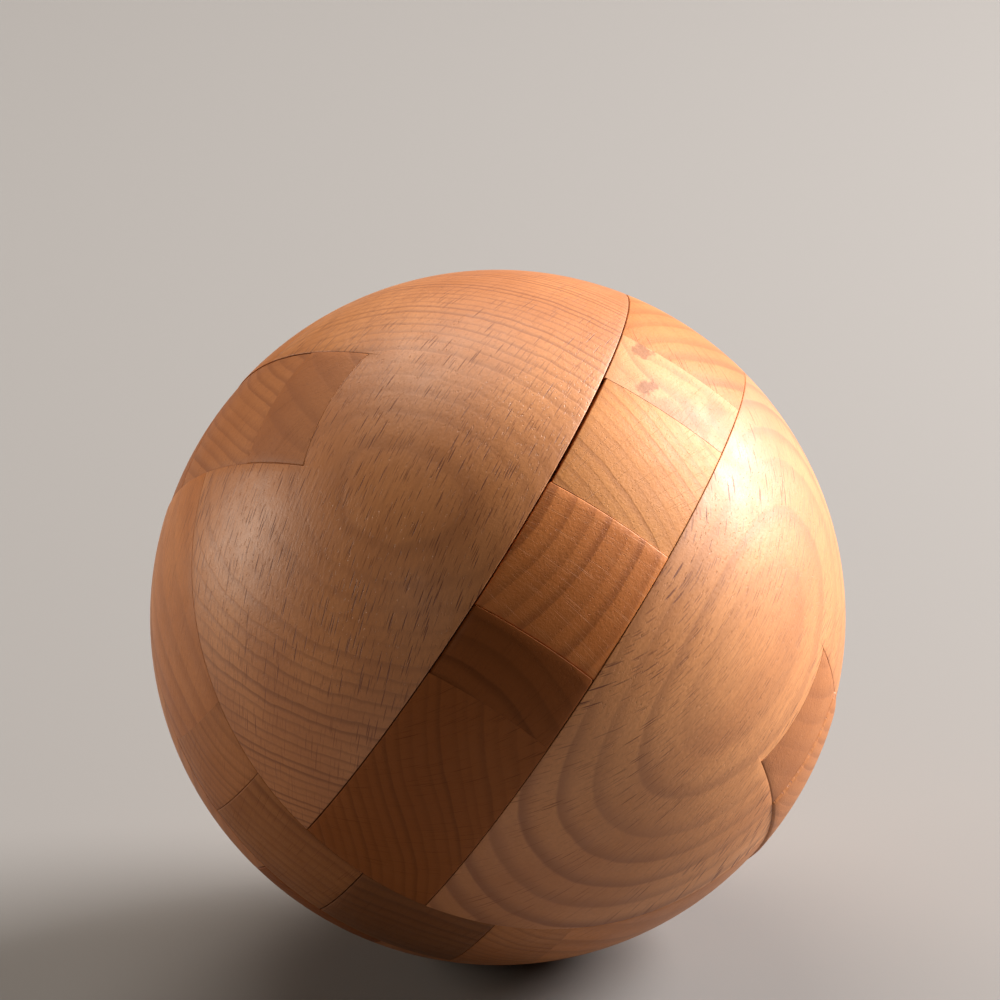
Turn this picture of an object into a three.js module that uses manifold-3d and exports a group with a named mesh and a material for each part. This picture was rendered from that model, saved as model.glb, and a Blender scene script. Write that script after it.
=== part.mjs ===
// Interlocking wooden puzzle ball, built round a six-stick burr.
//
// Three pairs of square sticks cross at the centre. Each pair lies between two laths half as
// thick, and each lath carries two outer pieces glued to its outer face, so twelve loose wooden
// parts make the ball. One plain stick is the key: it slides straight out, and the rest stay
// locked until it has gone.
//
// Units are millimetres. The ball is drawn square to its own sticks and then stood up with one
// corner of the burr on top: +Z is up, the shown end of the key faces the front (-Y), and the
// origin is the point that the ball stands on.
//
// Directions in the names are along the sticks: left and right are -x and +x, front and back are
// -y and +y, lower and upper are -z and +z. The key runs along z.

import * as THREE from 'three';
import * as BufferGeometryUtils from 'three/addons/utils/BufferGeometryUtils.js';
import Module from 'manifold-3d';

const BALL_DIAMETER = 70;
const STICK_SIDE = 14; // a stick is square
const LATH_THICKNESS = 7;

const FIT_GAP = 0.3; // between parts that slide on each other
const GLUE_LINE = 0.2; // between a lath and what is glued to it
const KEY_SUNK = 0.35; // the key's ends lie this far below the ball
const END_STAGGER = 0.35; // the x sticks stand this far to the right

const BALL_SEGMENTS = 60; // round the ball
const BALL_RINGS = 30; // from pole to pole

// Planes of the burr, measured from the centre.
const HALF_STICK = STICK_SIDE / 2; // also the floor of every notch, where the crossing sticks lie
const PAIR_EDGE = STICK_SIDE; // outer face of a pair of sticks
const LATH_FACE = PAIR_EDGE + LATH_THICKNESS; // outer face of the laths
const OUTSIDE = BALL_DIAMETER; // beyond the ball

const FIT = FIT_GAP / 2;
const GLUED = GLUE_LINE - FIT; // a lath already gives FIT on its own side

const wasm = await Module();
wasm.setup();

// ---- solids ----

function solidFrom( geometry ) {

	geometry.deleteAttribute( 'normal' );
	geometry.deleteAttribute( 'uv' );
	const welded = BufferGeometryUtils.mergeVertices( geometry, 1e-4 );
	return new wasm.Manifold( new wasm.Mesh( {
		numProp: 3,
		vertProperties: Float32Array.from( welded.attributes.position.array ),
		triVerts: Uint32Array.from( welded.index.array ),
	} ) );

}

function geometryFrom( solid ) {

	const mesh = solid.getMesh();
	const geometry = new THREE.BufferGeometry();
	geometry.setAttribute( 'position', new THREE.BufferAttribute( mesh.vertProperties, 3 ) );
	geometry.setIndex( new THREE.BufferAttribute( mesh.triVerts, 1 ) );
	geometry.computeVertexNormals();
	return geometry;

}

// A box given by its low and high planes along x, y and z.
function box( x, y, z ) {

	const geometry = new THREE.BoxGeometry( x[ 1 ] - x[ 0 ], y[ 1 ] - y[ 0 ], z[ 1 ] - z[ 0 ] );
	geometry.translate( ( x[ 0 ] + x[ 1 ] ) / 2, ( y[ 0 ] + y[ 1 ] ) / 2, ( z[ 0 ] + z[ 1 ] ) / 2 );
	return solidFrom( geometry );

}

// Ranges: one between two planes, drawn in or let out at both ends, and the part of the ball
// beyond a plane on one side of the centre.
const inside = ( low, high, margin = FIT ) => [ low + margin, high - margin ];
const cut = ( low, high, margin = FIT ) => [ low - margin, high + margin ];
const beyond = ( plane, side, margin = FIT ) => side > 0
	? [ plane + margin, OUTSIDE ]
	: [ - OUTSIDE, - plane - margin ];
const within = ( plane, side ) => side > 0 ? inside( 0, plane ) : inside( - plane, 0 );
const layer = ( low, high, side ) => side > 0 ? inside( low, high ) : inside( - high, - low );
const through = [ - OUTSIDE, OUTSIDE ];

// ---- the stance and the ball ----

// The burr corner (-1, 1, 1) points up and the key's upper end leans to the front.
const up = new THREE.Vector3( - 1, 1, 1 ).normalize();
const keyDirection = new THREE.Vector3( 0, 0, 1 );
const front = keyDirection.clone().addScaledVector( up, - keyDirection.dot( up ) ).normalize();
const right = new THREE.Vector3().crossVectors( up, front );
const standing = new THREE.Matrix4().makeBasis( right, front.clone().negate(), up ).transpose();

// The turned ball, as a solid square to the sticks. Its mesh poles are top and bottom when it
// stands, so that it rests on one point.
function turnedBall( radius, shift = 0 ) {

	const geometry = new THREE.SphereGeometry( radius, BALL_SEGMENTS, BALL_RINGS );
	geometry.rotateX( Math.PI / 2 );
	geometry.applyMatrix4( standing.clone().invert() );
	geometry.translate( shift, 0, 0 );
	return solidFrom( geometry );

}

const ball = turnedBall( BALL_DIAMETER / 2 );
const keyBall = turnedBall( BALL_DIAMETER / 2 - KEY_SUNK );
const staggeredBall = turnedBall( BALL_DIAMETER / 2, END_STAGGER );

// ---- the six sticks ----

// The key is a plain square stick along z, at the front of its pair.
function keyStick() {

	return box( inside( - HALF_STICK, HALF_STICK ), within( PAIR_EDGE, - 1 ), through ).intersect( keyBall );

}

// Its mate has one long notch towards the key, for the x sticks and the x laths.
function lockedStick() {

	const notch = box( through, [ - OUTSIDE, HALF_STICK + FIT ], cut( - LATH_FACE, LATH_FACE ) );
	return box( inside( - HALF_STICK, HALF_STICK ), within( PAIR_EDGE, 1 ), through )
		.subtract( notch )
		.intersect( ball );

}

// The y sticks face each other with long notches, which make the shaft for the z sticks and laths.
function yStick( side ) {

	const toCentre = side > 0 ? [ - OUTSIDE, HALF_STICK + FIT ] : [ - HALF_STICK - FIT, OUTSIDE ];
	const notch = box( toCentre, cut( - LATH_FACE, LATH_FACE ), through );
	return box( within( PAIR_EDGE, side ), through, inside( - HALF_STICK, HALF_STICK ) )
		.subtract( notch )
		.intersect( ball );

}

// The x sticks clasp the y sticks and the y laths in two pockets. Between the pockets half of
// the stick is cut away, because the key passes there.
function xStick( side ) {

	const toCentre = side > 0 ? [ - OUTSIDE, HALF_STICK + FIT ] : [ - HALF_STICK - FIT, OUTSIDE ];
	const leftPocket = box( cut( - LATH_FACE, - HALF_STICK ), through, toCentre );
	const rightPocket = box( cut( HALF_STICK, LATH_FACE ), through, toCentre );
	const keyWay = box( cut( - HALF_STICK, HALF_STICK ), [ - OUTSIDE, FIT ], through );
	return box( through, inside( - HALF_STICK, HALF_STICK ), within( PAIR_EDGE, side ) )
		.subtract( leftPocket )
		.subtract( rightPocket )
		.subtract( keyWay )
		.intersect( staggeredBall );

}

// ---- the six laths ----

function zLath( side ) {

	return box( inside( - HALF_STICK, HALF_STICK ), layer( PAIR_EDGE, LATH_FACE, side ), through )
		.intersect( ball );

}

function yLath( side ) {

	return box( layer( PAIR_EDGE, LATH_FACE, side ), through, inside( - HALF_STICK, HALF_STICK ) )
		.intersect( ball );

}

// An x lath is half as wide where it crosses the key.
function xLath( side ) {

	const keyWay = box( cut( - HALF_STICK, HALF_STICK ), [ - OUTSIDE, FIT ], through );
	return box( through, inside( - HALF_STICK, HALF_STICK ), layer( PAIR_EDGE, LATH_FACE, side ) )
		.subtract( keyWay )
		.intersect( ball );

}

// ---- the outer pieces glued to the laths ----

// Blocks on the z laths, which fill the slots between the bars.
function zBlock( ySide, zSide ) {

	const x = inside( - HALF_STICK, HALF_STICK );
	return box( x, beyond( LATH_FACE, ySide, GLUED ), beyond( HALF_STICK, zSide ) ).intersect( ball );

}

// Blocks on the y laths, which lie between an upper and a lower bar.
function yBlock( xSide, ySide ) {

	const z = inside( - HALF_STICK, HALF_STICK );
	return box( beyond( LATH_FACE, xSide, GLUED ), beyond( HALF_STICK, ySide ), z ).intersect( ball );

}

// Bars on the x laths: the four big quarters, each with a slot over an x stick and its lath.
function bar( xSide, zSide ) {

	const slotHeight = zSide > 0 ? [ - OUTSIDE, LATH_FACE + GLUED ] : [ - LATH_FACE - GLUED, OUTSIDE ];
	const slot = box( through, cut( - HALF_STICK, HALF_STICK ), slotHeight );
	return box( beyond( HALF_STICK, xSide ), through, beyond( HALF_STICK, zSide ) )
		.subtract( slot )
		.intersect( ball );

}

// ---- materials ----

const wood = ( color, roughness ) => new THREE.MeshStandardMaterial( { color, roughness, metalness: 0 } );
const stickWood = wood( 0xb9814f, 0.5 );
const keyWood = wood( 0xa06a40, 0.55 );
const lathWood = wood( 0xc08a58, 0.45 );
const blockWood = wood( 0xc89364, 0.45 );
const barWood = wood( 0xcf9c6c, 0.4 );

// ---- the assembled ball ----

const burr = new THREE.Group();

function place( name, solid, material ) {

	const mesh = new THREE.Mesh( geometryFrom( solid ), material );
	mesh.name = name;
	burr.add( mesh );

}

const LEFT_RIGHT = [ [ 'left', - 1 ], [ 'right', 1 ] ];
const FRONT_BACK = [ [ 'front', - 1 ], [ 'back', 1 ] ];
const LOWER_UPPER = [ [ 'lower', - 1 ], [ 'upper', 1 ] ];

place( 'key_stick', keyStick(), keyWood );
place( 'locked_stick', lockedStick(), stickWood );
for ( const [ word, side ] of LEFT_RIGHT ) {

	place( `y_stick_${ word }`, yStick( side ), stickWood );
	place( `y_lath_${ word }`, yLath( side ), lathWood );

}

for ( const [ word, side ] of LOWER_UPPER ) {

	place( `x_stick_${ word }`, xStick( side ), stickWood );
	place( `x_lath_${ word }`, xLath( side ), lathWood );

}

for ( const [ word, side ] of FRONT_BACK ) {

	place( `z_lath_${ word }`, zLath( side ), lathWood );

}

for ( const [ frontBack, ySide ] of FRONT_BACK ) {

	for ( const [ lowerUpper, zSide ] of LOWER_UPPER ) {

		place( `z_block_${ frontBack }_${ lowerUpper }`, zBlock( ySide, zSide ), blockWood );

	}

}

for ( const [ leftRight, xSide ] of LEFT_RIGHT ) {

	for ( const [ frontBack, ySide ] of FRONT_BACK ) {

		place( `y_block_${ leftRight }_${ frontBack }`, yBlock( xSide, ySide ), blockWood );

	}

	for ( const [ lowerUpper, zSide ] of LOWER_UPPER ) {

		place( `bar_${ leftRight }_${ lowerUpper }`, bar( xSide, zSide ), barWood );

	}

}

// Stand the ball on its lowest point.
burr.setRotationFromMatrix( standing );
burr.position.set( 0, 0, BALL_DIAMETER / 2 );

const puzzleBall = new THREE.Group();
puzzleBall.add( burr );
puzzleBall.updateMatrixWorld( true );

export default puzzleBall;
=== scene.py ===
import math

import bmesh
import bpy
from mathutils import Matrix, Vector


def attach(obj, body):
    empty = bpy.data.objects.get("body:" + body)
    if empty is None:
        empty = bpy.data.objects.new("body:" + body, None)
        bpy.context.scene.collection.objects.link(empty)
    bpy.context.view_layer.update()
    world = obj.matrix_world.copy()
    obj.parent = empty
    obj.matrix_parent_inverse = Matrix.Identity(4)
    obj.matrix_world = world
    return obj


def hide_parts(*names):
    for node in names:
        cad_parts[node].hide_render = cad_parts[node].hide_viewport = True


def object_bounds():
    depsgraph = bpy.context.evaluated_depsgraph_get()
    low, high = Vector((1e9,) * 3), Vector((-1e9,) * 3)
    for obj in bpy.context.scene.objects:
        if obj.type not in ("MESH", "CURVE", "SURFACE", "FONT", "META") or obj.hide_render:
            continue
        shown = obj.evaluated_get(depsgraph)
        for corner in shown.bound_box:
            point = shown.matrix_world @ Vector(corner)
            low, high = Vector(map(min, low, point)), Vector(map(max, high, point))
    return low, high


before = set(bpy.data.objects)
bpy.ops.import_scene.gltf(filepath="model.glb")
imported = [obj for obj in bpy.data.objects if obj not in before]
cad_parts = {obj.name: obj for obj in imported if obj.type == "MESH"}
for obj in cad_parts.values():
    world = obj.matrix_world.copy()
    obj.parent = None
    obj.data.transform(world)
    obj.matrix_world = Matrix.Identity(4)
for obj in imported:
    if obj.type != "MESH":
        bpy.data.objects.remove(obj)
cad_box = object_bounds()

# ---- The ball as it stands ----
# A turned beech ball, 70 mm across, balanced on one corner of the burr inside it. It is sawn
# into sticks, laths, blocks and bars, all square to each other, and each part is drawn along
# the burr's own x, y and z in millimetres before the whole is stood up.

mm_per_metre = 1000
centre_height = (cad_box[0][2] + cad_box[1][2]) / 2
stood_up = Matrix((
    (0.7071068, 0.7071068, 0.0),
    (-0.4082483, 0.4082483, -0.8164966),
    (-0.5773503, 0.5773503, 0.5773503),
))
burr_to_world = (Matrix.Translation((0, 0, centre_height)) @ stood_up.to_4x4()
                 @ Matrix.Scale(1 / mm_per_metre, 4))

ball_radius = 34.985  # a hair inside the full 35 mm
half_stick = 7.0  # a stick is 14 mm square
lath_face = 21.0  # from the centre to the outer face of a lath
fit = 0.15  # each part's share of a sliding fit


# ---- The beech ----
# Steamed beech under a thin satin lacquer. Growth rings run round a pith that lies outside each
# part, rays cross them as short brown dashes on the sides and as lines on the end grain, and the
# end grain drinks the finish and goes darker.

# ring is the width of a year, wavy is how far the rings wander, and early is where the late wood
# begins in a year. line and side_line are the strength of the rings on end grain and on the
# sides, fleck and reach are the strength and the spacing of the rays, and gloss and shine are the
# lacquer's. Stains are brown spots, placed in the burr.

def beech(name, grain, pith, ring=2.2, wavy=7.0, early=0.32, line=1.0, side_line=None,
          fleck=1.0, reach=None, pale_rays=0.0, tone=1.0, warm=0.0, rich=1.08, hue=0.494,
          dark_end=1.0, knotty=0.0, stains=(), gloss=0.50, shine=0.55, seed=0.0):
    """One part's wood. grain is along the part and pith is the tree's centre, both in the burr."""
    material = bpy.data.materials.new(name)
    material.use_nodes = True
    nodes = material.node_tree.nodes
    links = material.node_tree.links
    nodes.clear()

    def node(kind, **settings):
        made = nodes.new("ShaderNode" + kind)
        for key, value in settings.items():
            setattr(made, key, value)
        return made

    def put(made, index, value):
        if value is None:
            return
        if isinstance(value, bpy.types.NodeSocket):
            links.new(value, made.inputs[index])
        else:
            made.inputs[index].default_value = value

    def sums(operation, a, b=None, c=None, clamp=False):
        made = node("Math", operation=operation, use_clamp=clamp)
        put(made, 0, a)
        put(made, 1, b)
        put(made, 2, c)
        return made.outputs[0]

    def vectors(operation, a, b=None):
        made = node("VectorMath", operation=operation)
        put(made, 0, a)
        put(made, 1, b)
        return made.outputs["Value" if operation in ("DOT_PRODUCT", "LENGTH") else "Vector"]

    def ramp(value, low, high, to_low=0.0, to_high=1.0):
        made = node("MapRange", interpolation_type="SMOOTHSTEP")
        put(made, 0, value)
        put(made, 1, low)
        put(made, 2, high)
        put(made, 3, to_low)
        put(made, 4, to_high)
        return made.outputs[0]

    def noise(vector, scale, detail=2.0, rough=0.5):
        made = node("TexNoise", noise_dimensions="3D")
        put(made, "Vector", vector)
        put(made, "Scale", scale)
        put(made, "Detail", detail)
        put(made, "Roughness", rough)
        return made.outputs["Fac"]

    def tint(factor, a, b, blend="MIX"):
        made = node("Mix", data_type="RGBA", blend_type=blend)
        put(made, 0, factor)
        put(made, 6, a)
        put(made, 7, b)
        return made.outputs[2]

    def xyz(x, y, z):
        made = node("CombineXYZ")
        put(made, 0, x)
        put(made, 1, y)
        put(made, 2, z)
        return made.outputs[0]

    # The wood's own frame: millimetres, z up the tree, the pith at x = y = 0.
    along = Vector(grain).normalized()
    pith = Vector(pith)
    out = (-pith - along * -pith.dot(along)).normalized()
    round_way = along.cross(out)
    to_wood = Matrix((out, round_way, along)) @ stood_up.transposed()
    origin = Vector((0, 0, centre_height * mm_per_metre)) + stood_up @ pith
    place = node("Mapping", vector_type="POINT")
    place.inputs["Scale"].default_value = (mm_per_metre,) * 3
    place.inputs["Rotation"].default_value = to_wood.to_euler("XYZ")
    place.inputs["Location"].default_value = -(to_wood @ origin)
    coordinates = node("TexCoord")
    links.new(coordinates.outputs["Object"], place.inputs["Vector"])
    wood = place.outputs["Vector"]
    parted = node("SeparateXYZ")
    links.new(wood, parted.inputs[0])
    x, y, z = parted.outputs

    # Slow waves in the trunk, so that no ring is a true circle.
    stretched = vectors("MULTIPLY", wood, (1.0, 1.0, 0.3))
    slow = vectors("ADD", stretched, (seed, seed * 2.0, seed * 3.0))
    wave = sums("SUBTRACT", noise(slow, 0.035, 1.0), 0.5)
    ripple = sums("SUBTRACT", noise(slow, 0.30, 2.0), 0.5)
    radius = sums("SQRT", sums("ADD", sums("MULTIPLY", x, x), sums("MULTIPLY", y, y)))
    radius = sums("MULTIPLY_ADD", wave, wavy, radius)
    radius = sums("MULTIPLY_ADD", ripple, 0.38, radius)
    angle = sums("ARCTAN2", y, x)

    # A knot pushes the rings aside.
    if knotty:
        swirl = sums("SUBTRACT", noise(slow, 0.11, 1.0), 0.5)
        radius = sums("MULTIPLY_ADD", swirl, 9.0 * knotty, radius)

    # Growth rings: pale early wood darkening to a thin late line, of uneven width and strength.
    years = sums("DIVIDE", radius, ring)
    uneven = sums("SUBTRACT", noise(xyz(0.0, 0.0, years), 0.6, 1.0), 0.5)
    years = sums("MULTIPLY_ADD", uneven, 0.9, years)
    season = sums("FRACT", years)
    late = ramp(season, early, 0.86)
    late = sums("MULTIPLY", late, ramp(season, 1.0, 0.87))
    year = sums("FLOOR", years)
    white = node("TexWhiteNoise", noise_dimensions="1D")
    put(white, "W", sums("ADD", year, seed))
    strength = sums("MULTIPLY_ADD", white.outputs["Value"], 0.6, 0.4)
    late = sums("MULTIPLY", late, strength)

    # Fibres and fine pores, drawn out along the grain.
    drawn = vectors("MULTIPLY", wood, (1.0, 1.0, 0.07))
    fibre = noise(vectors("ADD", drawn, (seed, 0.0, seed)), 3.2, 3.0, 0.6)
    pores = noise(vectors("MULTIPLY", wood, (1.0, 1.0, 0.16)), 6.0, 1.0, 0.4)
    pore = ramp(pores, 0.66, 0.76)

    # Rays: flat spindles that lie along the radius, high along the grain and thin across it.
    def rays(thin, high, deep, low, top, shift):
        spread = xyz(
            sums("DIVIDE", sums("MULTIPLY", angle, reach or pith.length + 26.0), thin),
            sums("DIVIDE", sums("ADD", radius, shift), deep),
            sums("DIVIDE", sums("ADD", z, shift), high),
        )
        cells = node("TexVoronoi", voronoi_dimensions="3D", feature="F1")
        put(cells, "Vector", spread)
        put(cells, "Scale", 1.0)
        put(cells, "Randomness", 1.0)
        return ramp(cells.outputs["Distance"], low, top, 1.0, 0.0)

    patchy = ramp(noise(slow, 0.22, 2.0), 0.38, 0.60, 0.30, 1.0)
    ray = sums("MULTIPLY", rays(0.22, 4.6, 9.0, 0.15, 0.27, seed), patchy)
    fine_ray = rays(0.17, 2.8, 6.0, 0.14, 0.30, seed + 3.7)

    # How far the surface looks along the grain: end is 1 on end grain and 0 on the sides.
    outward = coordinates.outputs["Normal"]
    facing = sums("ABSOLUTE", vectors("DOT_PRODUCT", outward, stood_up @ along))
    end = ramp(facing, 0.35, 0.92)
    flank = sums("SUBTRACT", 1.0, end)

    # Colour, laid on in turn from the clean wood to the marks of handling.
    fresh_wood = (0.540, 0.228, 0.080, 1)
    golden_wood = (0.700, 0.325, 0.125, 1)
    red_wood = (0.36, 0.115, 0.036, 1)
    late_wood = (0.235, 0.082, 0.026, 1)
    dull_fibre = (0.36, 0.150, 0.056, 1)
    open_pore = (0.20, 0.075, 0.026, 1)
    soaked_end = (0.30, 0.112, 0.040, 1)
    dark_ray = (0.170, 0.048, 0.012, 1)
    faint_ray = (0.230, 0.072, 0.020, 1)
    bright_ray = (0.62, 0.34, 0.17, 1)
    knot_brown = (0.30, 0.095, 0.028, 1)
    stain_brown = (0.25, 0.095, 0.030, 1)
    hand_brown = (0.40, 0.172, 0.068, 1)
    base = tint(ramp(noise(slow, 0.09, 3.0), 0.3, 0.7), fresh_wood, golden_wood)
    if warm:
        base = tint(warm, base, red_wood)
    ring_mark = sums("MULTIPLY_ADD", end, 0.40 * line, 0.20 * (side_line or line))
    colour = tint(sums("MULTIPLY", late, ring_mark), base, late_wood)
    colour = tint(ramp(fibre, 0.32, 0.70, 0.0, 0.26), colour, dull_fibre)
    colour = tint(sums("MULTIPLY", pore, 0.22), colour, open_pore)
    # End grain darkens where the finish soaks in; where dark_end is set high it also paints shade
    colour = tint(sums("MULTIPLY", end, 0.36 * dark_end), colour, soaked_end)
    side_ray = sums("MULTIPLY_ADD", flank, 0.45 * fleck, 0.45 * fleck * (1 - pale_rays))
    colour = tint(sums("MULTIPLY", ray, side_ray), colour, dark_ray)
    faint = sums("MULTIPLY", fine_ray, sums("MULTIPLY", side_ray, 0.6))
    colour = tint(faint, colour, faint_ray)
    if pale_rays:
        end_ray = sums("MULTIPLY", sums("MAXIMUM", ray, fine_ray), end)
        colour = tint(sums("MULTIPLY", end_ray, 0.5 * pale_rays), colour, bright_ray)
    if knotty:
        blotch = ramp(noise(slow, 0.16, 3.0, 0.6), 0.50, 0.66)
        colour = tint(sums("MULTIPLY", blotch, 0.5 * knotty), colour, knot_brown)
    for stain in stains:
        spot = to_wood @ stood_up @ (Vector(stain) - pith)
        distance = vectors("LENGTH", vectors("SUBTRACT", wood, spot))
        ragged = sums("MULTIPLY_ADD", noise(wood, 0.55, 3.0, 0.6), 5.0, distance)
        colour = tint(ramp(ragged, 3.2, 4.0, 0.85, 0.0), colour, stain_brown)
    handled = noise(wood, 0.05, 4.0, 0.6)
    colour = tint(ramp(handled, 0.35, 0.75, 0.0, 0.25), colour, hand_brown)
    # tone lightens or darkens a whole part; on some parts it is painted light or painted shade
    balance = node("HueSaturation")
    balance.inputs["Hue"].default_value = hue
    balance.inputs["Saturation"].default_value = rich
    balance.inputs["Value"].default_value = tone
    put(balance, "Color", colour)

    # Sheen of the lacquer: a little rougher over pores and end grain, rubbed in places.
    worn = noise(vectors("ADD", wood, (seed, seed, seed)), 0.35, 4.0, 0.65)
    rough = sums("MULTIPLY_ADD", worn, 0.26, gloss - 0.13)
    rough = sums("MULTIPLY_ADD", end, 0.10, rough)
    rough = sums("MULTIPLY_ADD", ray, 0.08, rough, clamp=True)

    # Surface: fibre, open pores and rays, and the faint steps between early and late wood.
    grit = noise(vectors("ADD", wood, (seed, seed, 0.0)), 2.6, 2.0, 0.6)
    relief = sums("MULTIPLY_ADD", fibre, 0.45, sums("MULTIPLY", grit, 0.30))
    relief = sums("MULTIPLY_ADD", ray, -0.22, relief)
    relief = sums("MULTIPLY_ADD", pore, -0.40, relief)
    relief = sums("MULTIPLY_ADD", late, -0.20, relief)
    bump = node("Bump")
    bump.inputs["Strength"].default_value = 0.55
    bump.inputs["Distance"].default_value = 0.00012
    put(bump, "Height", relief)

    shader = node("BsdfPrincipled")
    links.new(balance.outputs["Color"], shader.inputs["Base Color"])
    links.new(rough, shader.inputs["Roughness"])
    links.new(bump.outputs["Normal"], shader.inputs["Normal"])
    shader.inputs["IOR"].default_value = 1.48
    shader.inputs["Coat Weight"].default_value = 0.06
    shader.inputs["Coat Roughness"].default_value = 0.24
    shader.inputs["Specular IOR Level"].default_value = shine
    output = node("OutputMaterial")
    links.new(shader.outputs[0], output.inputs[0])
    return material


# ---- The sticks and laths ----
# Twelve square-sawn lengths of beech with ends turned to the ball. Each is a box with domed
# ends, made by one tree of nodes, then notched with a saw and chisel where others cross it.

def length_of_wood():
    """The node tree for one length along z: half width, half depth, its offset and the dome."""
    tree = bpy.data.node_groups.new("length of wood", "GeometryNodeTree")
    face = tree.interface
    for socket, kind in (("Half width", "NodeSocketFloat"), ("Half depth", "NodeSocketFloat"),
                         ("Offset", "NodeSocketVector"), ("Dome radius", "NodeSocketFloat"),
                         ("Columns", "NodeSocketInt"), ("Rows", "NodeSocketInt"),
                         ("Wood", "NodeSocketMaterial")):
        face.new_socket(socket, in_out="INPUT", socket_type=kind)
    face.new_socket("Geometry", in_out="OUTPUT", socket_type="NodeSocketGeometry")
    nodes = tree.nodes
    links = tree.links
    given = nodes.new("NodeGroupInput").outputs

    def sums(operation, a, b=None):
        made = nodes.new("ShaderNodeMath")
        made.operation = operation
        for index, value in enumerate((a, b)):
            if isinstance(value, bpy.types.NodeSocket):
                links.new(value, made.inputs[index])
            elif value is not None:
                made.inputs[index].default_value = value
        return made.outputs[0]

    blank = nodes.new("GeometryNodeMeshCube")
    blank.inputs["Size"].default_value = (2, 2, 2)
    links.new(given["Columns"], blank.inputs["Vertices X"])
    links.new(given["Rows"], blank.inputs["Vertices Y"])
    blank.inputs["Vertices Z"].default_value = 2
    spot = nodes.new("GeometryNodeInputPosition")
    parts = nodes.new("ShaderNodeSeparateXYZ")
    links.new(spot.outputs[0], parts.inputs[0])
    shift = nodes.new("ShaderNodeSeparateXYZ")
    links.new(given["Offset"], shift.inputs[0])
    x = sums("ADD", sums("MULTIPLY", parts.outputs[0], given["Half width"]), shift.outputs[0])
    y = sums("ADD", sums("MULTIPLY", parts.outputs[1], given["Half depth"]), shift.outputs[1])
    square = sums("SUBTRACT", sums("MULTIPLY", given["Dome radius"], given["Dome radius"]),
                  sums("ADD", sums("MULTIPLY", x, x), sums("MULTIPLY", y, y)))
    z = sums("ADD", sums("MULTIPLY", parts.outputs[2], sums("SQRT", square)), shift.outputs[2])
    joined = nodes.new("ShaderNodeCombineXYZ")
    for index, value in enumerate((x, y, z)):
        links.new(value, joined.inputs[index])
    moved = nodes.new("GeometryNodeSetPosition")
    links.new(blank.outputs["Mesh"], moved.inputs["Geometry"])
    links.new(joined.outputs[0], moved.inputs["Position"])
    real = nodes.new("GeometryNodeRealizeInstances")
    links.new(moved.outputs[0], real.inputs[0])
    stained = nodes.new("GeometryNodeSetMaterial")
    links.new(real.outputs[0], stained.inputs["Geometry"])
    links.new(given["Wood"], stained.inputs["Material"])
    made = nodes.new("NodeGroupOutput")
    links.new(stained.outputs[0], made.inputs["Geometry"])
    return tree


length_tree = length_of_wood()
length_inputs = {item.name: item.identifier for item in length_tree.interface.items_tree
                 if item.in_out == "INPUT"}

# A length is drawn along z. Turned to x its width lies along z, and turned to y its depth does.
turned_to = {
    "z": Matrix.Identity(4),
    "y": Matrix(((1, 0, 0, 0), (0, 0, -1, 0), (0, 1, 0, 0), (0, 0, 0, 1))),
    "x": Matrix(((0, 0, -1, 0), (0, 1, 0, 0), (1, 0, 0, 0), (0, 0, 0, 1))),
}

edge_ease = 0.09  # how far an edge is rubbed down
weld = 0.001  # corners closer than this are one corner
sawn_corner = math.radians(40)
smooth_under = math.radians(35)


def boxes(name, spans):
    """The square waste that a saw and chisel take out. Spans are low and high x, y and z."""
    waste = bmesh.new()
    for span in spans:
        for corner in bmesh.ops.create_cube(waste, size=1)["verts"]:
            corner.co = [(low + high) / 2 + part * (high - low)
                         for part, (low, high) in zip(corner.co, span)]
    shape = bpy.data.meshes.new(name)
    waste.to_mesh(shape)
    waste.free()
    made = bpy.data.objects.new(name, shape)
    bpy.context.scene.collection.objects.link(made)
    return made


def rub_edges(shape, crisp, ease):
    """Rubs down the edges of a sawn shape, but for those that lie in a plane named as crisp."""
    work = bmesh.new()
    work.from_mesh(shape)
    bmesh.ops.remove_doubles(work, verts=work.verts, dist=weld)
    sharp = []
    for edge in work.edges:
        if len(edge.link_faces) != 2 or edge.calc_face_angle() < sawn_corner:
            continue
        if any(all(abs(end.co[axis] - plane) < 10 * weld for end in edge.verts)
               for axis, plane in crisp):
            continue
        sharp.append(edge)
    bmesh.ops.bevel(work, geom=sharp, offset=ease, offset_type="OFFSET", segments=3,
                    profile=0.5, affect="EDGES", clamp_overlap=False, loop_slide=True)
    work.to_mesh(shape)
    work.free()


def settle(name, shape, wood, body):
    """Stands a finished shape up in the ball and gives it to its body."""
    shape.name = name
    shape.transform(burr_to_world)
    shape.materials.clear()
    shape.materials.append(wood)
    shape.polygons.foreach_set("material_index", [0] * len(shape.polygons))
    shape.shade_smooth()
    shape.set_sharp_from_angle(angle=smooth_under)
    made = bpy.data.objects.new(name, shape)
    bpy.context.scene.collection.objects.link(made)
    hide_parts(name)
    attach(made, body)
    return made


def evaluated(piece):
    """The mesh of a piece with its modifiers done, and the piece itself thrown away."""
    bpy.context.view_layer.update()
    done = piece.evaluated_get(bpy.context.evaluated_depsgraph_get())
    shape = bpy.data.meshes.new_from_object(done)
    bpy.data.objects.remove(piece)
    return shape


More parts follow.
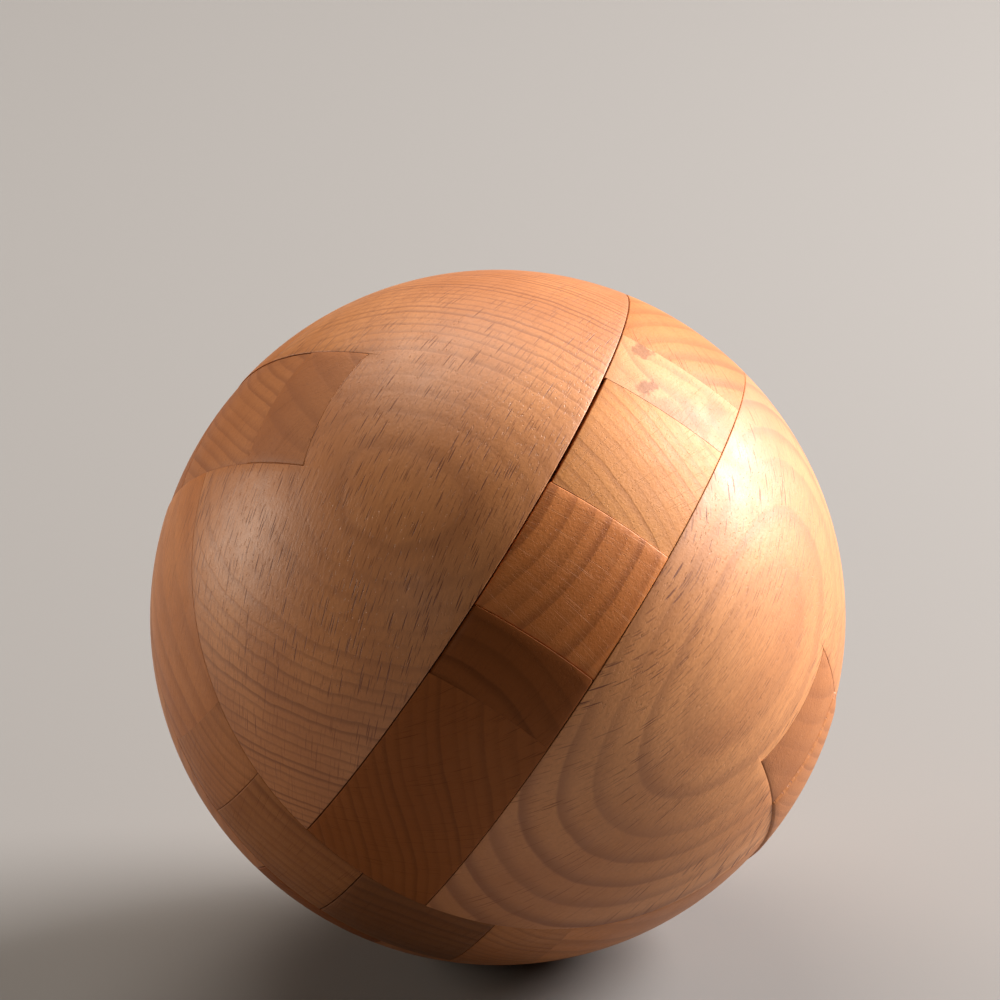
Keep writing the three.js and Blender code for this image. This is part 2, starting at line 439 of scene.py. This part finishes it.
def length(name, way, across, deep, wood, body, notches=(), crisp=(), radius=ball_radius,
           shift=(0, 0, 0), ease=edge_ease):
    """A stick or a lath that runs along way, between the planes of across and deep."""
    fewest = 8
    per_mm = 2.2
    width = (across[1] - across[0]) / 2
    depth = (deep[1] - deep[0]) / 2
    blank = bpy.data.objects.new(name + " blank", bpy.data.meshes.new(name + " blank"))
    bpy.context.scene.collection.objects.link(blank)
    grown = blank.modifiers.new("length of wood", "NODES")
    grown.node_group = length_tree
    for label, value in (("Half width", width), ("Half depth", depth),
                         ("Offset", (sum(across) / 2, sum(deep) / 2, 0)), ("Dome radius", radius),
                         ("Columns", max(fewest, round(width * per_mm))),
                         ("Rows", max(fewest, round(depth * per_mm))), ("Wood", wood)):
        grown[length_inputs[label]] = value
    shape = evaluated(blank)
    shape.transform(Matrix.Translation(shift) @ turned_to[way])
    if notches:
        sawn = bpy.data.objects.new(name + " sawn", shape)
        bpy.context.scene.collection.objects.link(sawn)
        waste = boxes(name + " waste", notches)
        cut = sawn.modifiers.new("notch", "BOOLEAN")
        cut.operation = "DIFFERENCE"
        cut.solver = "EXACT"
        cut.use_self = True
        cut.object = waste
        shape = evaluated(sawn)
        bpy.data.objects.remove(waste)
    rub_edges(shape, crisp, ease)
    return settle(name, shape, wood, body)


notch = half_stick + fit
lath_notch = lath_face + fit
far = 60.0  # well outside the ball
close_fit = (-6.97, 6.97)  # the width of a part that lies between blocks
slot_fit = (-6.99, 6.99)  # and of one that lies in the slot of a bar
pair = (0.05, 13.96)  # one stick of a pair, out from the middle
lath = (14.01, 20.99)  # the lath next to it


def mirrored(span, side):
    """The same span on either side of the centre."""
    return sorted((side * span[0], side * span[1]))


# The key is plain, of redder wood, a loose fit, and its ends lie a shade below the ball.
# Its wood is painted much lighter than the other parts: painted light on its end, which the lamps
# leave close to shade
length("key_stick", "z", across=(-7.14, 6.68), deep=(-14.33, -0.42),
       wood=beech("key beech", (0.05, 0, 1), (-42, -4, 0), ring=2.3, tone=1.52, warm=0.50,
                  line=1.9, hue=0.496, seed=1.3, gloss=0.46, shine=0.4, pale_rays=0.7),
       body="key",
       radius=ball_radius - 0.02, shift=(0.3, 0.4, 0), ease=0.13)

# Its mate carries the x sticks and laths in one long notch, and lies a touch below the ball.
length("locked_stick", "z", across=(-6.66, 6.98), deep=(-0.18, 13.78),
       wood=beech("locked stick beech", (0, 0, 1), (-14, -30, 0), ring=1.55, line=0.8,
                  seed=2.9, hue=0.5, tone=1.16, pale_rays=0.4, dark_end=0.3),
       body="ball", crisp=[(1, 13.98), (1, 0.02)],
       radius=ball_radius - 0.10, shift=(0, 0.2, 0),
       notches=[((-far, far), (-far, notch), (-lath_notch, lath_notch))])

# The y sticks face each other with long notches, which leave the shaft for the z parts.
for word, side in (("left", -1), ("right", 1)):
    # Both are painted darker than the other parts, the right one most: painted shade on the low
    # part of the ball
    wood = beech(f"y stick {word} beech", (0, 1, 0.02 * side), (4 * side, 0, -40), ring=1.7,
                 tone=0.68 if side < 0 else 0.45, line=1.2, seed=4.1 + side,
                 shine=0.36)
    length(f"y_stick_{word}", "y", mirrored(pair, side), close_fit, wood, "ball",
           notches=[(mirrored((notch, -far), side), (-lath_notch, lath_notch), (-far, far))])

# The x sticks stand a little proud in the slots of the bars, and each has three notches.
for word, side in (("lower", -1), ("upper", 1)):
    wood = beech(f"x stick {word} beech", (1, 0, 0), (0, 30, 26 * side), ring=1.5, line=1.1,
                 tone=0.92, seed=7.3 + side)
    pocket = mirrored((notch, -far), side)
    length(f"x_stick_{word}", "x", mirrored(pair, side), slot_fit, wood, "ball",
           shift=(0.18, 0, 0), ease=0.16, radius=ball_radius + 0.06,
           notches=[((-lath_notch, -half_stick), (-far, far), pocket),
                    ((half_stick, lath_notch), (-far, far), pocket),
                    ((-notch, notch), (-far, fit), (-far, far))])

# The laths, half as thick. Their outer faces are glued up, so nothing is rubbed down there.
for word, side in (("front", -1), ("back", 1)):
    if side < 0:
        # The front lath is redder and painted darker than the back one: painted shade on the lower
        # front of the ball
        wood = beech("z lath front beech", (0, 0, 1), (-5, -48, 0), ring=2.0, tone=0.66, line=1.7,
                     warm=0.75, seed=9.7, shine=0.14)
    else:
        wood = beech("z lath back beech", (0, 0, 1), (10, 46, 0), ring=2.6, knotty=1.0, line=0.8,
                     tone=1.1, seed=11.7, dark_end=0.3, pale_rays=0.6, rich=1.0, hue=0.497,
                     stains=((-4.8, 20.2, 28.2), (-2.5, 15.8, 31.2)))
    lean = 0.3 if side < 0 else 0.0
    unrubbed = [side * lath[1]] if side < 0 else [lath[1], lath[0]]
    length(f"z_lath_{word}", "z", (-6.87 - lean, 6.96 - lean), mirrored(lath, side), wood,
           "ball", shift=(lean, 0, 0), crisp=[(1, plane) for plane in unrubbed],
           ease=0.24 if side < 0 else edge_ease)

for word, side in (("left", -1), ("right", 1)):
    wood = beech(f"y lath {word} beech", (0, 1, 0), (side * 30, 0, 30), ring=1.3, tone=0.86,
                 seed=13.9 + side)
    length(f"y_lath_{word}", "y", mirrored(lath, side), close_fit, wood, "ball",
           crisp=[(0, side * lath[1])])

for word, side in (("lower", -1), ("upper", 1)):
    wood = beech(f"x lath {word} beech", (1, 0.06, 0), (0, 26, side * 34), ring=3.2, line=0.8,
                 tone=0.88, seed=16.1 + side)
    length(f"x_lath_{word}", "x", mirrored(lath, side), slot_fit, wood, "ball",
           ease=0.16, radius=ball_radius + 0.03, crisp=[(2, side * lath[1])],
           notches=[((-notch, notch), (-far, fit), (-far, far))])


# ---- The outer blocks and bars ----
# Twelve beech pieces with flat inner faces and one turned face, glued to the laths. Eight are
# blocks. Four are the big bars, each with a slot over the end of an x stick and its lath.

rubbed = [0.0, 0.08, 0.29, 0.62, 1.0]  # shares of a rubbed edge, closer towards the corner


def spread(low, high, low_ease, high_ease, steps):
    """Places from low to high, close together where an edge is rubbed down."""
    most = 0.4 * (high - low)
    first = [low + min(low_ease, most) * part for part in rubbed] if low_ease else [low]
    last = [high]
    if high_ease:
        last = [high - min(high_ease, most) * part for part in reversed(rubbed)]
    gap = last[0] - first[-1]
    return first + [first[-1] + gap * step / steps for step in range(1, steps)] + last


def turned_shape(name, spots, near_edge, flats, close, turn):
    """The turned face of a piece, rubbed down near its edges, then closed with flat walls."""
    work = bmesh.new()
    grid = {}
    for (row, column), spot in spots.items():
        falls = [size * (1 - math.sqrt(1 - min(1.0, max(0.0, 1 - gap / size)) ** 2))
                 for gap, size in near_edge(spot)]
        lowered = spot * (1 - max(falls) / ball_radius)
        for axis, plane in flats(row, column):
            lowered[axis] = plane
        grid[row, column] = work.verts.new(lowered)
    for row, column in spots:
        ring = [grid.get(key) for key in ((row, column), (row, column + 1), (row + 1, column + 1),
                                          (row + 1, column))]
        if None not in ring:
            work.faces.new(ring)
    for wall in close(work, grid):
        work.faces.new(wall)
    bmesh.ops.remove_doubles(work, verts=work.verts, dist=weld / 2)
    bmesh.ops.transform(work, matrix=turn, verts=work.verts)
    bmesh.ops.recalc_face_normals(work, faces=work.faces)
    shape = bpy.data.meshes.new(name)
    work.to_mesh(shape)
    work.free()
    return shape


block_side = 7.04  # from the centre to the block's face beside the stick


def block(name, turn, wood, width, ease, shift=0.0):
    """A block in its own axes: x across it, y up from the lath, z away from the stick beside it."""
    side = block_side
    steps_across, steps_down = 13, 24
    rows = spread(-width, width, ease, ease, steps_across)
    spots = {}
    for row, across in enumerate(rows):
        reach = math.sqrt(ball_radius ** 2 - across ** 2)
        start = math.asin(side / reach)
        stop = math.acos(lath_face / reach)
        columns = spread(start, stop, edge_ease / reach, 0.0, steps_down)
        for column, angle in enumerate(columns):
            spots[row, column] = Vector((across, reach * math.cos(angle), reach * math.sin(angle)))
    last_row = len(rows) - 1
    last_column = len(columns) - 1

    def near_edge(spot):
        return ((width - abs(spot.x), ease), (spot.z - side, edge_ease))

    def flats(row, column):
        if row in (0, last_row):
            yield 0, rows[row]
        if column == 0:
            yield 2, side
        if column == last_column:
            yield 1, lath_face

    def close(work, grid):
        low = work.verts.new((-width, lath_face, side))
        high = work.verts.new((width, lath_face, side))
        yield [grid[0, column] for column in range(last_column + 1)] + [low]
        yield [grid[last_row, column] for column in range(last_column + 1)] + [high]
        yield [grid[row, 0] for row in range(last_row + 1)] + [high, low]
        yield [grid[row, last_column] for row in range(last_row + 1)] + [high, low]

    shape = turned_shape(name, spots, near_edge, flats, close, turn.to_4x4())
    shape.transform(Matrix.Translation((shift, 0, 0)))
    return settle(name, shape, wood, "ball")


# The blocks on the z laths. The front two are redder and closer in the ring, with painted shade
# making them darker.
for fore, y_side in (("front", -1), ("back", 1)):
    if y_side < 0:
        look = {"ring": 1.15, "tone": 0.72, "warm": 0.7, "shine": 0.14}
    else:
        look = {"ring": 2.6}
    for level, z_side in (("lower", -1), ("upper", 1)):
        wood = beech(f"z block {fore} {level} beech", (0, 1, 0), (-35, 0, -11 * z_side),
                     line=1.5, seed=19.3 + y_side + 2.7 * z_side, **look)
        block(f"z_block_{fore}_{level}", Matrix(((1, 0, 0), (0, y_side, 0), (0, 0, z_side))), wood,
              width=6.93, ease=0.06, shift=0.03)

# The blocks on the y laths, between an upper and a lower bar.
for word, x_side in (("left", -1), ("right", 1)):
    for fore, y_side in (("front", -1), ("back", 1)):
        wood = beech(f"y block {word} {fore} beech", (0, 1, 0), (8 * x_side, 0, -30), ring=3.1,
                     fleck=0.6, seed=29.9 + 3.1 * x_side + y_side)
        block(f"y_block_{word}_{fore}", Matrix(((0, x_side, 0), (0, 0, y_side), (1, 0, 0))), wood,
              width=6.98, ease=0.03)


bar_side = 7.03  # from the centre to a bar's flat faces
bar_slot = 7.03  # half the width of its slot
side_rub = 0.09  # the edge beside the z parts
level_rub = 0.035  # the edge beside the y parts, rubbed down less


def bar(name, turn, wood):
    """A bar in its own axes: y along it, x and z out from its two flat faces."""
    side = bar_side
    tip = math.asin(side * math.sqrt(2) / ball_radius)
    slot = math.acos(bar_slot / ball_radius)
    rub = edge_ease / ball_radius
    tip_rub = 0.02
    steps_to_slot, steps_in_slot, steps_up, steps_over = 36, 14, 15, 25
    before = spread(tip, slot, tip_rub, rub, steps_to_slot)
    beside = spread(slot, math.pi - slot, 0.0, 0.0, steps_in_slot)[1:-1]
    rows = before + beside + [math.pi - turned for turned in reversed(before)]
    slot_low = len(before) - 1
    slot_high = len(before) + len(beside)
    last_row = len(rows) - 1

    def limits(reach):
        start = math.asin(min(side / reach, math.sqrt(0.5)))
        return start, math.pi / 2 - start

    slot_reach = ball_radius * math.sin(slot)
    start, stop = limits(slot_reach)
    share = (math.asin(lath_face / slot_reach) - start) / (stop - start)
    spots = {}
    for row, turned in enumerate(rows):
        reach = ball_radius * math.sin(turned)
        start, stop = limits(reach)
        if slot_low <= row <= slot_high:
            level = math.asin(lath_face / reach)
        else:
            level = start + share * (stop - start)
        arc = reach * math.cos(start)
        below = spread(start, level, level_rub / arc, 0.0, steps_up)
        columns = below + spread(level, stop, 0.0, side_rub / arc, steps_over)[1:]
        slot_column = len(below) - 1
        for column, angle in enumerate(columns):
            if slot_low < row < slot_high and column < slot_column:
                continue
            spots[row, column] = Vector((reach * math.cos(angle), -ball_radius * math.cos(turned),
                                         reach * math.sin(angle)))
    last_column = len(columns) - 1

    def near_edge(spot):
        past_slot = max(0.0, abs(spot.y) - bar_slot)
        over_floor = max(0.0, spot.z - lath_face)
        fade = 8  # the slot's rubbed edge dies out this fast above the slot
        from_slot = past_slot + fade * over_floor if past_slot else 1.0
        return (spot.x - side, side_rub), (spot.z - side, level_rub), (from_slot, edge_ease)

    def flats(row, column):
        if column == last_column or row in (0, last_row):
            yield 0, side
        if column == 0 or row in (0, last_row):
            yield 2, side
        if column <= slot_column and row in (slot_low, slot_high):
            yield 1, bar_slot if row == slot_high else -bar_slot
        if column == slot_column and slot_low <= row <= slot_high:
            yield 2, lath_face

    def close(work, grid):
        low, low_floor, high_floor, high = [
            work.verts.new(corner) for corner in (
                (side, -bar_slot, side), (side, -bar_slot, lath_face),
                (side, bar_slot, lath_face), (side, bar_slot, side))]
        side_edge = [grid[row, last_column] for row in range(last_row + 1)]
        floor_edge = [grid[row, slot_column] for row in range(slot_low, slot_high + 1)]
        yield side_edge + [high, high_floor, low_floor, low]
        yield [grid[row, 0] for row in range(slot_low + 1)] + [low]
        yield [grid[row, 0] for row in range(slot_high, last_row + 1)] + [high]
        yield [grid[slot_low, column] for column in range(slot_column + 1)] + [low_floor, low]
        yield [grid[slot_high, column] for column in range(slot_column + 1)] + [high_floor, high]
        yield floor_edge + [high_floor, low_floor]

    shape = turned_shape(name, spots, near_edge, flats, close, turn.to_4x4())
    return settle(name, shape, wood, "ball")


bar_woods = {
    "left upper": beech("left upper bar beech", (-0.114, 0.986, 0.172), (16.1, 6.1, -24.5),
                        ring=0.72, wavy=2.4, early=0.45, line=2.2, side_line=1.4, fleck=1.3,
                        rich=1.05, hue=0.495, dark_end=1.2, gloss=0.46, shine=0.8, seed=41.2),
    # Its end grain is made darker than elsewhere: darker end grain, and painted shade on the bar's
    # lower end
    "right upper": beech("right upper bar beech", (0, 1, 0), (29, 0, 37), ring=2.8, line=1.9,
                         fleck=1.15, reach=22, tone=1.08, rich=1.05, hue=0.497, dark_end=1.5,
                         gloss=0.55, shine=0.9, seed=43.9),
    "left lower": beech("left lower bar beech", (0, 1, 0), (20, 0, 12), ring=2.1, seed=47.1),
    "right lower": beech("right lower bar beech", (0, 1, 0.03), (-18, 0, 8), ring=2.3, seed=52.6),
}
for level, z_side in (("lower", -1), ("upper", 1)):
    for word, x_side in (("left", -1), ("right", 1)):
        bar(f"bar_{word}_{level}", Matrix(((x_side, 0, 0), (0, 1, 0), (0, 0, z_side))),
            bar_woods[f"{word} {level}"])


# ---- The table and the light ----
# A plain pale table. One soft lamp high on the right and a little behind gives the sheen on the
# shoulder of the ball, and weaker ones on the left and in front open the shade.

table = bmesh.new()
bmesh.ops.create_grid(table, x_segments=1, y_segments=1, size=3.0)
table_mesh = bpy.data.meshes.new("table")
table.to_mesh(table_mesh)
table.free()
table_top = bpy.data.objects.new("table", table_mesh)
bpy.context.scene.collection.objects.link(table_top)
paint = bpy.data.materials.new("pale table")
paint.use_nodes = True
painted = paint.node_tree.nodes["Principled BSDF"].inputs
painted["Base Color"].default_value = (0.24, 0.241, 0.243, 1)
painted["Roughness"].default_value = 0.75
table_mesh.materials.append(paint)

# The camera stands low in front and looks past the ball's centre, with the ball low in the frame.
ball_centre = Vector((0, 0, centre_height))
camera_right = stood_up @ Vector((0.83327, 0.45305, 0.31686))
camera_down = stood_up @ Vector((0.54000, -0.78987, -0.29070))
camera_forward = stood_up @ Vector((0.11857, 0.41333, -0.90283))

camera_data = bpy.data.cameras.new("camera")
camera_data.sensor_width = 36
camera_data.lens = 354.0
camera_data.clip_start = 0.05
camera = bpy.data.objects.new("camera", camera_data)
bpy.context.scene.collection.objects.link(camera)
full_radius = 0.035
off_right, off_down, reach = -0.0063, 0.3373, 28.285  # of the ball from the camera, in radii
away = (camera_right * off_right + camera_down * off_down + camera_forward * reach) * full_radius
camera.matrix_world = Matrix.Translation(ball_centre - away) @ Matrix((
    camera_right, -camera_down, -camera_forward)).transposed().to_4x4()
bpy.context.scene.camera = camera


def lamp(name, side, up, toward, distance, size, power, colour=(1, 1, 1)):
    """A square soft lamp placed to the right of, above and in front of the ball as it is seen."""
    way = (camera_right * side - camera_down * up - camera_forward * toward).normalized()
    data = bpy.data.lights.new(name, "AREA")
    data.shape = "SQUARE"
    data.size = size
    data.energy = power
    data.color = colour
    made = bpy.data.objects.new(name, data)
    made.matrix_world = (Matrix.Translation(ball_centre + way * distance)
                         @ way.to_track_quat("Z", "Y").to_matrix().to_4x4())
    bpy.context.scene.collection.objects.link(made)


lamp("shoulder lamp", 0.765, 0.575, -0.15, 0.75, 0.42, 17.0, (1.0, 0.93, 0.88))
lamp("overhead lamp", -0.15, 0.97, -0.15, 0.9, 0.6, 4.8, (1.0, 0.90, 0.79))
lamp("left lamp", -0.95, 0.30, -0.11, 0.9, 0.35, 3.2, (1.0, 0.86, 0.72))
lamp("front lamp", -0.436, 0.097, 0.894, 1.2, 0.20, 0.55, (1.0, 0.86, 0.72))

sky = bpy.data.worlds.new("room")
sky.use_nodes = True
glow = sky.node_tree.nodes["Background"].inputs
glow["Color"].default_value = (1.0, 0.80, 0.60, 1)
glow["Strength"].default_value = 0.05
bpy.context.scene.world = sky
bpy.context.scene.view_settings.view_transform = "Standard"
